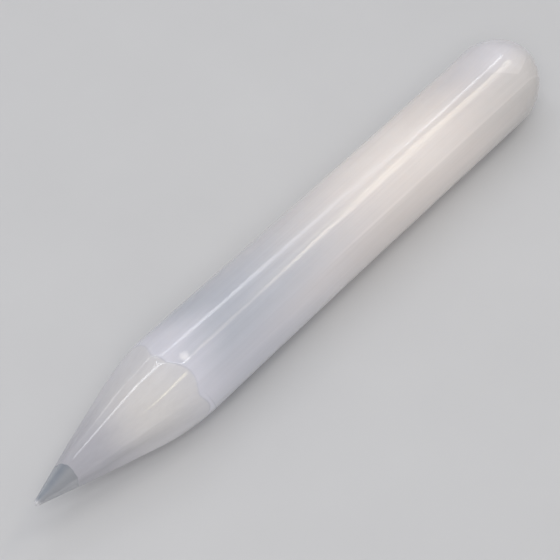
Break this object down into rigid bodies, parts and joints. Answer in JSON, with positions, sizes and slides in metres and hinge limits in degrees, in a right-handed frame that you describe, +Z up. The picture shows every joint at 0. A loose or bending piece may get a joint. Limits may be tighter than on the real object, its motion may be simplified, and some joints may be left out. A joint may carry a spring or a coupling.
{
  "type": "selenite wand",
  "caption": "Polished round crystal wand lying on its side, with a hand-ground faceted point at one end and a rounded dome at the other.",
  "frame": {"origin": "on the resting plane, under the middle of the wand's length", "axes": "+X along the wand towards its rounded end, the point towards -X, +Z up"},
  "size_m": [0.16, 0.0205, 0.0204],
  "materials": {
    "selenite": "polished fibrous satin spar, milky and translucent with fine silky streaks along the length and a clear blue-grey tip"
  },
  "bodies": {
    "root": {"wand": "selenite"}
  },
  "joints": []
}
